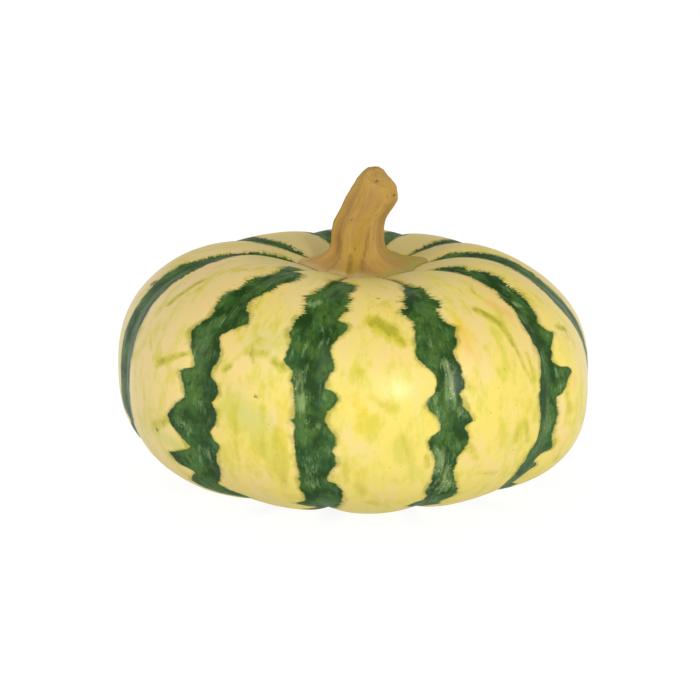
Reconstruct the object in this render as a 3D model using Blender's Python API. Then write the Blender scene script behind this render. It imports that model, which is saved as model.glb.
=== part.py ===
"""A small striped ornamental pumpkin, standing on its base: the lobed fruit and its dried stem.

Metres, +Z up. +Y is away from the viewer and +X to the viewer's right. The origin is under the
middle of the box round the whole object, at the height of the surface it rests on.
"""

import math

import bmesh
import bpy
from mathutils import Vector

MM = 0.001

# Fruit. Heights are from its widest ring, and an azimuth turns from the viewer's side (-Y) towards +X.
RADIUS = 65 * MM
HEIGHT_ABOVE = 39.5 * MM
HEIGHT_BELOW = 35 * MM
SQUARENESS_ABOVE = 2.4
SQUARENESS_BELOW = 2.65
CROWN_DEPTH = 12.5 * MM
CROWN_WIDTH = 26 * MM
BASE_DEPTH = 6 * MM
BASE_WIDTH = 18 * MM
SCAR_RISE = 0.8 * MM
SCAR_RADIUS = 4.5 * MM
LEAN = math.radians(0.9)  # the shoulders lean, higher on the left; the base stays level
BASE_FLAT = 0.45 * MM  # how much of the lobes' lowest points is flattened

# Each lobe as the azimuth in degrees of the furrow it starts at, and how much fuller it is than the rest.
LOBES = (
    (-11.0, -0.018),
    (22.5, -0.015),
    (54.5, 0.030),
    (91.5, 0.004),
    (129.5, -0.018),
    (160.0, 0.009),
    (200.0, 0.000),
    (240.0, 0.054),
    (277.0, 0.022),
    (319.0, -0.025),
)
FURROW_DEPTH = 1.7 * MM
FURROW_DEPTH_ABOVE = 1.2 * MM
FURROW_DEPTH_BELOW = 2.2 * MM
FURROW_SHARPNESS = 2.6
INNER_RADIUS = 20 * MM  # inside it a furrow sinks straight down, and it fades out towards the middle
MERIDIANS_PER_LOBE = 10
FRUIT_RINGS = 40
RING_CROWDING = 0.4  # how much closer the rings lie at the crown and the base

# Stem. Its foot lies on the crown, and above its neck it bends to the right as an arc.
GAP = 0.35 * MM
FOOT_OFFSET = (1.1 * MM, 0.5 * MM)
FOOT_VALLEY = 13 * MM
FOOT_EDGE = 0.9 * MM
NECK_CENTRE = (0.7 * MM, 0.2 * MM)
NECK_HEIGHT = 40.2 * MM
NECK_RADIUS = 7.5 * MM
BEND_RADIUS = 19.4 * MM
BEND_TURN = math.radians(50)
END_RADIUS = 6.6 * MM
END_DOME = 2.6 * MM
END_ROUGHNESS = 0.35 * MM

# Each ridge as its azimuth in degrees, and how far its foot reaches along the crown.
RIDGES = (
    (-88, 18.0 * MM),
    (-28, 14.1 * MM),
    (40, 16.6 * MM),
    (92, 18.2 * MM),
    (155, 16.4 * MM),
    (218, 15.8 * MM),
)
RIDGE_WIDTH = 20  # degrees
RIDGE_RISE = 0.12  # share of the neck's radius, half as much at the end
FLARE_SHARPNESS = 3  # how fast the foot narrows, going up
FLARE_LIFT = 1.2  # how slowly it leaves the crown
STEM_SEGMENTS = 60
UNDER_ROWS, FLARE_ROWS, BEND_ROWS, END_ROWS = 6, 9, 8, 4

RIND_COLOUR = (0.80, 0.66, 0.22)
STEM_COLOUR = (0.42, 0.26, 0.07)


def clear_scene():
    for item in list(bpy.data.objects):
        bpy.data.objects.remove(item, do_unlink=True)


def make_material(name, colour, roughness):
    material = bpy.data.materials.new(name)
    material.use_nodes = True
    shader = material.node_tree.nodes["Principled BSDF"]
    shader.inputs["Base Color"].default_value = (*colour, 1)
    shader.inputs["Roughness"].default_value = roughness
    shader.inputs["Metallic"].default_value = 0
    return material


def mix(a, b, share):
    return a + (b - a) * share


def smooth(share):
    share = min(max(share, 0), 1)
    return share * share * (3 - 2 * share)


def bell(distance, width):
    return math.exp(-((distance / width) ** 2))


def lobe_width(lobe):
    next_start = LOBES[(lobe + 1) % len(LOBES)][0]
    return (next_start - LOBES[lobe][0]) % 360


def lobe_and_phase(azimuth):
    """The lobe at an azimuth, and the place across it: -1 and 1 at its furrows, 0 on its crest."""
    for lobe, (start, _) in enumerate(LOBES):
        across = (azimuth - start) % 360
        if across < lobe_width(lobe):
            return lobe, 2 * across / lobe_width(lobe) - 1
    return 0, -1


def fullness(lobe, phase):
    own = LOBES[lobe][1]
    neighbour = LOBES[(lobe + (1 if phase > 0 else -1)) % len(LOBES)][1]
    return mix(own, (own + neighbour) / 2, phase**2)


def smooth_height(radius, above):
    """Height of the fruit before its lobes are raised, on the crown's side or the base's."""
    power = SQUARENESS_ABOVE if above else SQUARENESS_BELOW
    dome = max(1 - (radius / RADIUS) ** power, 0) ** (1 / power)
    if above:
        return HEIGHT_ABOVE * dome - CROWN_DEPTH * bell(radius, CROWN_WIDTH)
    hollow = BASE_DEPTH * bell(radius, BASE_WIDTH) - SCAR_RISE * bell(radius, SCAR_RADIUS)
    return hollow - HEIGHT_BELOW * dome


def lobed_surface(lobe, phase, radius, above):
    """Radius and height on a lobe, for a radius on the smooth fruit."""
    height = smooth_height(radius, above)
    outward = smooth((radius - INNER_RADIUS) / (RADIUS - INNER_RADIUS))
    size = 1 + fullness(lobe, phase) * outward
    flank_depth = FURROW_DEPTH_ABOVE if above else FURROW_DEPTH_BELOW
    depth = mix(flank_depth, FURROW_DEPTH, outward) * min(radius / INNER_RADIUS, 1)
    depth *= abs(phase) ** FURROW_SHARPNESS
    direction = outward * math.pi / 2
    sunk = depth * math.cos(direction) * (1 if above else -1)
    return radius * size - depth * math.sin(direction), height * size - sunk


def leaned(x, y, z):
    slope = math.tan(LEAN)
    return Vector((x + max(z, 0) * slope, y, z - x * slope * smooth(1 + z / HEIGHT_BELOW)))


def around(azimuth, radius):
    turn = math.radians(azimuth)
    return radius * math.sin(turn), -radius * math.cos(turn)


def fruit_point(azimuth, polar):
    """A point of the fruit's surface, from its azimuth and its angle from the crown."""
    above = polar < math.pi / 2
    power = SQUARENESS_ABOVE if above else SQUARENESS_BELOW
    side, up = math.sin(polar), abs(math.cos(polar))
    smooth_radius = RADIUS * side * (side**power + up**power) ** (-1 / power)
    lobe, phase = lobe_and_phase(azimuth)
    radius, height = lobed_surface(lobe, phase, smooth_radius, above)
    return leaned(*around(azimuth, radius), height)


def crown_point(x, y, lift):
    """A point above the crown at a place seen from above, inside the inner radius."""
    azimuth = math.degrees(math.atan2(x, -y))
    lobe, phase = lobe_and_phase(azimuth)
    _, height = lobed_surface(lobe, phase, math.hypot(x, y), True)
    return leaned(x, y, height + lift)


def column_and_row(vertex, columns, rows):
    """The place of a unit sphere's vertex in its own grid, with row 0 at the top."""
    azimuth = math.degrees(math.atan2(vertex.co.x, -vertex.co.y)) % 360
    polar = math.acos(min(max(vertex.co.z, -1), 1))
    return round(azimuth / 360 * columns) % columns, round(polar / math.pi * rows)


def shaped_sphere(name, columns, rows, shape, material, collection):
    """A sphere primitive whose grid of vertices is moved to the places that shape gives."""
    mesh = bpy.data.meshes.new(name)
    ball = bmesh.new()
    bmesh.ops.create_uvsphere(ball, u_segments=columns, v_segments=rows, radius=1)
    for vertex in ball.verts:
        vertex.co = shape(*column_and_row(vertex, columns, rows))
    ball.to_mesh(mesh)
    ball.free()
    mesh.materials.append(material)
    mesh.shade_smooth()
    piece = bpy.data.objects.new(name, mesh)
    collection.objects.link(piece)
    return piece


def fruit_shape(column, row):
    lobe, step = divmod(column, MERIDIANS_PER_LOBE)
    azimuth = LOBES[lobe][0] + lobe_width(lobe) * step / MERIDIANS_PER_LOBE
    share = row / FRUIT_RINGS
    polar = math.pi * share - RING_CROWDING / 2 * math.sin(2 * math.pi * share)
    return fruit_point(azimuth, polar)


def ridge_share(azimuth):
    """1 on a ridge of the stem and near 0 between two."""
    return sum(bell((azimuth - ridge + 180) % 360 - 180, RIDGE_WIDTH) for ridge, _ in RIDGES)


def foot_reach(azimuth):
    extra = 0
    for ridge, reach in RIDGES:
        extra += (reach - FOOT_VALLEY) * bell((azimuth - ridge + 180) % 360 - 180, RIDGE_WIDTH)
    return FOOT_VALLEY + extra


def foot_point(azimuth, share, lift):
    x, y = around(azimuth, foot_reach(azimuth) * share)
    return crown_point(x + FOOT_OFFSET[0], y + FOOT_OFFSET[1], GAP + lift)


def neck_radius(azimuth, along):
    size = mix(NECK_RADIUS, END_RADIUS, along)
    return size * (1 + mix(RIDGE_RISE, RIDGE_RISE / 2, along) * (ridge_share(azimuth) - 0.5))


def flare_point(azimuth, along):
    """From the upper edge of the foot, where along is 0, up to the neck, where it is 1."""
    edge = foot_point(azimuth, 1, FOOT_EDGE)
    x, y = around(azimuth, neck_radius(azimuth, 0))
    neck = Vector((NECK_CENTRE[0] + x, NECK_CENTRE[1] + y, NECK_HEIGHT))
    spread = (1 - along) ** FLARE_SHARPNESS
    place = neck.lerp(edge, spread)
    place.z = mix(edge.z, neck.z, along**FLARE_LIFT)
    return place


def bend_point(azimuth, along, inset=0.0, rise=0.0):
    """On the arc above the neck; inset closes the ring towards its axis and rise lifts it along the axis."""
    turn = BEND_TURN * along
    centre = Vector((
        NECK_CENTRE[0] + BEND_RADIUS * (1 - math.cos(turn)),
        NECK_CENTRE[1],
        NECK_HEIGHT + BEND_RADIUS * math.sin(turn),
    ))
    across, outward = around(azimuth, neck_radius(azimuth, along) * (1 - inset))
    sideways = Vector((math.cos(turn), 0, -math.sin(turn)))
    axis = Vector((math.sin(turn), 0, math.cos(turn)))
    return centre + sideways * across + Vector((0, outward, 0)) + axis * rise


def end_point(azimuth, inset):
    """On the broken end, from its rim, where inset is 0, to its middle: three coarse waves and five fine."""
    turn = math.radians(azimuth)
    coarse = math.sin(3 * turn + 1) * (1 - inset)
    fine = math.sin(5 * turn + 7 * inset) * inset * (1 - inset) * 2
    rise = END_DOME * (1 - (1 - inset) ** 2) + END_ROUGHNESS * (coarse + fine)
    return bend_point(azimuth, 1, inset, rise)


def stem_shape(column, row):
    azimuth = 360 * column / STEM_SEGMENTS
    if row <= END_ROWS:
        return end_point(azimuth, 1 - row / END_ROWS)
    row -= END_ROWS
    if row <= BEND_ROWS:
        return bend_point(azimuth, 1 - row / BEND_ROWS)
    row -= BEND_ROWS
    if row <= FLARE_ROWS:
        return flare_point(azimuth, 1 - row / FLARE_ROWS)
    return foot_point(azimuth, 1 - (row - FLARE_ROWS - 1) / UNDER_ROWS, 0)


def stand_on_base(pieces, fruit):
    """Flatten the lowest points of the lobes, and move the origin under the middle of the box."""
    floor = min(vertex.co.z for vertex in fruit.data.vertices) + BASE_FLAT
    corners = [vertex.co for piece in pieces for vertex in piece.data.vertices]
    middle = [(min(c[axis] for c in corners) + max(c[axis] for c in corners)) / 2 for axis in (0, 1)]
    for piece in pieces:
        for vertex in piece.data.vertices:
            vertex.co.z = max(vertex.co.z, floor)
            vertex.co -= Vector((*middle, floor))
        piece.data.update()


def main():
    clear_scene()
    pumpkin = bpy.data.collections.new("pumpkin")
    bpy.context.scene.collection.children.link(pumpkin)
    rind = make_material("rind", RIND_COLOUR, 0.35)
    dry_stem = make_material("dry_stem", STEM_COLOUR, 0.75)
    meridians = MERIDIANS_PER_LOBE * len(LOBES)
    stem_rows = UNDER_ROWS + 1 + FLARE_ROWS + BEND_ROWS + END_ROWS
    fruit = shaped_sphere("fruit", meridians, FRUIT_RINGS, fruit_shape, rind, pumpkin)
    stem = shaped_sphere("stem", STEM_SEGMENTS, stem_rows, stem_shape, dry_stem, pumpkin)
    stand_on_base([fruit, stem], fruit)


main()
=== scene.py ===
# A small striped ornamental pumpkin with its dried stem, on a plain pale floor.
# Lengths in the dictionaries are millimetres and turns are degrees. An azimuth turns from the front (-Y)
# towards +X, and "along" is the way over the rind from the middle of the crown down to the base.
import math
import random

import bpy
import numpy as np
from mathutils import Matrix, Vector, noise


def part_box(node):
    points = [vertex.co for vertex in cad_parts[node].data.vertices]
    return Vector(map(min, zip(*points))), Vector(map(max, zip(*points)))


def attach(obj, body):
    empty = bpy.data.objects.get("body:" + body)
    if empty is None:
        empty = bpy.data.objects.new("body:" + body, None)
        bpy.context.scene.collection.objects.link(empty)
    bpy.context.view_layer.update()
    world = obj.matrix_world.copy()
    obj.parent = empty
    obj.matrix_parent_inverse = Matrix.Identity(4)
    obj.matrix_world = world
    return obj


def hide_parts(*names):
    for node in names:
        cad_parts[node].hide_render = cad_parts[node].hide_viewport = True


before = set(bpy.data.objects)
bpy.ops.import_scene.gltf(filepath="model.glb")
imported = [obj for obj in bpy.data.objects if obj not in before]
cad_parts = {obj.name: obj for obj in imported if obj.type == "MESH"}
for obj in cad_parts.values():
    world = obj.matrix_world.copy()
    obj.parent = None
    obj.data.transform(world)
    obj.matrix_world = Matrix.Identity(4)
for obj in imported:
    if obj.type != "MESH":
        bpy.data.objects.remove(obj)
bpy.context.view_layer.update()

mm = 0.001
ringCentre = np.array((1.08, -0.92, 32.67))  # the middle of the fruit's widest ring, in the frame
print("frame loaded with", len(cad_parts), "nodes")


def rgb(red, green, blue, shade=0.8):
    # a colour as it looks on a screen, made darker by this shade because the studio's light brightens it
    shares = [value / 255 for value in (red, green, blue)]
    linear = [share / 12.92 if share < 0.0404 else ((share + 0.055) / 1.055) ** 2.4 for share in shares]
    return (*[share * shade for share in linear], 1)


class Wire:
    # one output of a node, so that shader maths reads like arithmetic
    def __init__(self, tree, socket=None):
        self.tree = tree
        self.socket = socket

    def add(self, kind, settings=None, values=None, output=0):
        node = self.tree.nodes.new(kind)
        for name, value in (settings or {}).items():
            setattr(node, name, value)
        for name, value in (values or {}).items():
            if isinstance(value, Wire):
                self.tree.links.new(value.socket, node.inputs[name])
            else:
                node.inputs[name].default_value = value
        return Wire(self.tree, node.outputs[output])

    def math(self, operation, first, second=0.0):
        return self.add("ShaderNodeMath", {"operation": operation}, {0: first, 1: second})

    def __add__(self, other):
        return self.math("ADD", self, other)

    def __radd__(self, other):
        return self.math("ADD", other, self)

    def __sub__(self, other):
        return self.math("SUBTRACT", self, other)

    def __rsub__(self, other):
        return self.math("SUBTRACT", other, self)

    def __mul__(self, other):
        return self.math("MULTIPLY", self, other)

    def __rmul__(self, other):
        return self.math("MULTIPLY", other, self)

    def step(self, low, high):
        # 0 below low, 1 above high and a smooth way between
        smooth = {"interpolation_type": "SMOOTHSTEP"}
        return self.add("ShaderNodeMapRange", smooth, {0: self, 1: low, 2: high})

    def paint(self, under, over):
        # the colour over laid on the colour under, by this share
        return self.add("ShaderNodeMix", {"data_type": "RGBA"}, {0: self, 6: under, 7: over}, 2)

    def attribute(self, name, output="Fac"):
        return self.add("ShaderNodeAttribute", {"attribute_name": name}, output=output)

    def parts(self, name):
        vector = self.attribute(name, "Vector")
        return [self.add("ShaderNodeSeparateXYZ", values={0: vector}, output=axis) for axis in range(3)]

    def stretched(self, scale):
        return self.add("ShaderNodeVectorMath", {"operation": "MULTIPLY"}, {0: self, 1: scale})

    def grain(self, across, along, detail=2.0, roughness=0.5, moved=0.0):
        # noise on a piece's own place vector, with its cells this many to the millimetre
        place = self.stretched((across, across, along))
        if moved:
            shift = (moved, moved, moved)
            place = self.add("ShaderNodeVectorMath", {"operation": "ADD"}, {0: place, 1: shift})
        values = {"Vector": place, "Scale": 1.0, "Detail": detail, "Roughness": roughness}
        return self.add("ShaderNodeTexNoise", values=values)

    def specks(self, across, along, size, share):
        # small round spots in this share of the cells
        place = self.stretched((across, across, along))
        cells = {"Vector": place, "Scale": 1.0, "Randomness": 1.0}
        far = self.add("ShaderNodeTexVoronoi", values=cells)
        tint = self.add("ShaderNodeTexVoronoi", values=cells, output="Color")
        chance = self.add("ShaderNodeSeparateXYZ", values={0: tint})
        return far.step(size, size * 0.4) * chance.step(1 - share, 1.001 - share)


def newMaterial(name, roughness, coat, coatRoughness, specular=0.5):
    material = bpy.data.materials.new(name)
    material.use_nodes = True
    shader = material.node_tree.nodes["Principled BSDF"]
    shader.inputs["Roughness"].default_value = roughness
    shader.inputs["Coat Weight"].default_value = coat
    shader.inputs["Coat Roughness"].default_value = coatRoughness
    shader.inputs["Specular IOR Level"].default_value = specular
    return material, shader, Wire(material.node_tree)


def feed(shader, name, wire):
    wire.tree.links.new(wire.socket, shader.inputs[name])


def bumped(wire, height, strength):
    # height is in millimetres
    return wire.add("ShaderNodeBump", values={"Strength": strength, "Distance": mm, "Height": height})


def smoothStep(share):
    share = np.clip(share, 0, 1)
    return share * share * (3 - 2 * share)


def easedBetween(place, ends):
    # 0 before the first end, 1 after the second and a smooth way between
    return smoothStep((place - ends[0]) / (ends[1] - ends[0]))


def bell(distance, width):
    return np.exp(-(distance / width) ** 2)


def wrapped(turn):
    return (turn + 180) % 360 - 180


def around(azimuth, radius):
    turn = np.radians(azimuth)
    return radius * np.sin(turn), -radius * np.cos(turn)


def curveThrough(places, values, at):
    # a smooth curve through a table's values
    slope = np.gradient(values, places)
    order = np.clip(np.searchsorted(places, at, side="right") - 1, 0, len(places) - 2)
    step = places[order + 1] - places[order]
    share = (at - places[order]) / step
    rest = 1 - share
    start = (1 + 2 * share) * rest**2 * values[order] + share * rest**2 * step * slope[order]
    end = share**2 * (3 - 2 * share) * values[order + 1] - share**2 * rest * step * slope[order + 1]
    return start + end


def randomHeights(points, size, seed):
    # smooth random heights between -1 and 1 at each point of a grid
    flat = points.reshape(-1, 3) / size + seed
    return np.array([noise.noise(Vector(point)) for point in flat]).reshape(points.shape[:-1])


def gridNormals(grid):
    # outward directions of a grid whose rows go down and whose columns turn towards +X from the front
    acrossStep = np.roll(grid, -1, axis=1) - np.roll(grid, 1, axis=1)
    downStep = np.gradient(grid, axis=0)
    normals = np.cross(downStep, acrossStep)
    length = np.linalg.norm(normals, axis=2, keepdims=True)
    return normals / np.maximum(length, 1e-9)


def strokeAmount(strokes, azimuth, height, radius):
    # how strongly a list of short brush strokes covers each point
    total = np.zeros(azimuth.shape)
    for azimuthA, heightA, azimuthB, heightB, width, strength in strokes:
        reach = wrapped(azimuthB - azimuthA) * math.pi / 180 * radius, heightB - heightA
        place = wrapped(azimuth - azimuthA) * math.pi / 180 * radius, height - heightA
        long = np.maximum(reach[0] ** 2 + reach[1] ** 2, 1e-6)
        share = np.clip((place[0] * reach[0] + place[1] * reach[1]) / long, 0, 1)
        apart = np.hypot(place[0] - share * reach[0], place[1] - share * reach[1])
        total = np.maximum(total, strength * bell(apart, width))
    return total


def sphereFromGrid(name, grid, attributes):
    # a sphere primitive whose vertices are moved to a grid of rows and columns, in millimetres
    rows, columns = grid.shape[0] - 1, grid.shape[1]
    bpy.ops.object.select_all(action="DESELECT")
    bpy.ops.mesh.primitive_uv_sphere_add(segments=columns, ring_count=rows, radius=1, location=(0, 0, 0))
    piece = bpy.context.object
    piece.name = piece.data.name = name
    mesh = piece.data
    place = np.zeros(len(mesh.vertices) * 3)
    mesh.vertices.foreach_get("co", place)
    place = place.reshape(-1, 3)
    row = np.rint(np.arccos(np.clip(place[:, 2], -1, 1)) / math.pi * rows).astype(int)
    turn = np.degrees(np.arctan2(place[:, 0], -place[:, 1])) % 360
    column = np.rint(turn / 360 * columns).astype(int) % columns
    mesh.vertices.foreach_set("co", (grid[row, column] * mm).ravel())
    for label, values in attributes.items():
        kind, key = ("FLOAT_VECTOR", "vector") if values.ndim == 3 else ("FLOAT", "value")
        layer = mesh.attributes.new(label, kind, "POINT")
        layer.data.foreach_set(key, values[row, column].astype(np.float32).ravel())
    bpy.ops.object.shade_smooth()
    mesh.update()
    return piece


fruitForm = {
    "segments": 440,
    "rings": 218,
    "ringCrowding": 0.3,
    "radius": 65,
    "heightAbove": 39.5,
    "heightBelow": 35,
    "squarenessAbove": 2.4,
    "squarenessBelow": 2.65,
    "crownDepth": 12.5,
    "crownWidth": 26,
    "baseDepth": 6,
    "baseWidth": 18,
    "scarRise": 0.8,
    "scarRadius": 4.5,
    "lean": 0.9,
    "furrowDepth": 1.7,
    "furrowDepthAbove": 1.2,
    "furrowDepthBelow": 2.2,
    "furrowSharpness": 2.6,
    "innerRadius": 20,  # inside it the furrows grow shallower towards the middle
    # the crown's low places: depth, azimuth and its width, radius and its width
    "dips": ((1.9, 12, 31, 31, 14), (1.3, 96, 42, 54, 14)),
    "unseen": (78, 282),  # azimuths of the sides that the photograph doesn't show
    "lumps": ((0.16, 16.0), (0.06, 5.0)),  # depth and size of its unevenness
    "lumpsFrom": (24, 36),  # along: no lumps before the first and all of them after the second
    # the dark lines in the furrows near the crown are painted shade
    "creaseFrom": (6, 12),  # along: the dark lines in the furrows come in
    "creaseUntil": (30, 46),  # and fade out again
    "creaseWidth": (0.55, 0.8),  # half width near the stem and further out
    "paintRadius": 65,  # the drum that the patterns are laid on, so that they don't stretch with the lobes
    # each lobe: the azimuth of its first furrow at the crown and at the widest ring, and its fullness
    "lobes": (
        (-11, -11, -0.018),
        (22.5, 22.5, -0.015),
        (54.5, 54.5, 0.030),
        (93, 80, 0.018),
        (129.5, 129.5, -0.018),
        (160, 160, 0.009),
        (200, 200, 0.000),
        (240, 240, 0.054),
        (270, 282, 0.022),
        (319, 319, -0.025),
    ),
}


def lobePlaces(azimuth, outward):
    # for each point: the furrows' azimuths, its lobe, and its place across it, -1 and 1 at the furrows
    crown, rim, _ = (np.array(values, float) for values in zip(*fruitForm["lobes"]))
    starts = crown + (rim - crown) * outward[..., None]
    widths = (np.roll(starts, -1, axis=-1) - starts) % 360
    past = (azimuth[..., None] - starts) % 360
    lobe = np.argmax(past < widths, axis=-1)[..., None]
    phase = 2 * np.take_along_axis(past, lobe, -1) / np.take_along_axis(widths, lobe, -1) - 1
    return starts, lobe[..., 0], phase[..., 0]


def outwardShare(radius):
    inner = fruitForm["innerRadius"]
    return smoothStep((radius - inner) / (fruitForm["radius"] - inner))


def lobedSurface(azimuth, radius, above):
    # radius and height on a lobe, for a radius on the smooth fruit
    form = fruitForm
    power = np.where(above, form["squarenessAbove"], form["squarenessBelow"])
    dome = np.maximum(1 - (radius / form["radius"]) ** power, 0) ** (1 / power)
    crown = form["heightAbove"] * dome - form["crownDepth"] * bell(radius, form["crownWidth"])
    for dip, turn, turnWidth, out, outWidth in form["dips"]:
        crown = crown - dip * bell(wrapped(azimuth - turn), turnWidth) * bell(radius - out, outWidth)
    hollow = form["baseDepth"] * bell(radius, form["baseWidth"])
    hollow = hollow - form["scarRise"] * bell(radius, form["scarRadius"])
    height = np.where(above, crown, hollow - form["heightBelow"] * dome)
    outward = outwardShare(radius)
    _, lobe, phase = lobePlaces(azimuth, outward)
    full = np.array([values[2] for values in form["lobes"]])
    neighbour = full[(lobe + np.where(phase > 0, 1, -1)) % len(full)]
    size = 1 + (full[lobe] + (neighbour - full[lobe]) / 2 * phase**2) * outward
    flank = np.where(above, form["furrowDepthAbove"], form["furrowDepthBelow"])
    depth = (flank + (form["furrowDepth"] - flank) * outward) * np.minimum(radius / form["innerRadius"], 1)
    depth = depth * np.abs(phase) ** form["furrowSharpness"]
    direction = outward * math.pi / 2
    sunk = depth * np.cos(direction) * np.where(above, 1, -1)
    return radius * size - depth * np.sin(direction), height * size - sunk


def leaned(x, y, z):
    slope = math.tan(math.radians(fruitForm["lean"]))
    upper = smoothStep(1 + z / fruitForm["heightBelow"])  # the base stays level
    return np.stack([x + np.maximum(z, 0) * slope, y, z - x * slope * upper], -1)


def fruitPoints(azimuth, polar):
    # points from the ring's centre, from their azimuths and their angles from the crown
    above = polar < math.pi / 2
    power = np.where(above, fruitForm["squarenessAbove"], fruitForm["squarenessBelow"])
    side, up = np.sin(polar), np.abs(np.cos(polar))
    radius = fruitForm["radius"] * side * (side**power + up**power) ** (-1 / power)
    bent, height = lobedSurface(azimuth, radius, above)
    x, y = around(azimuth, bent)
    return leaned(x, y, height), radius


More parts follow.
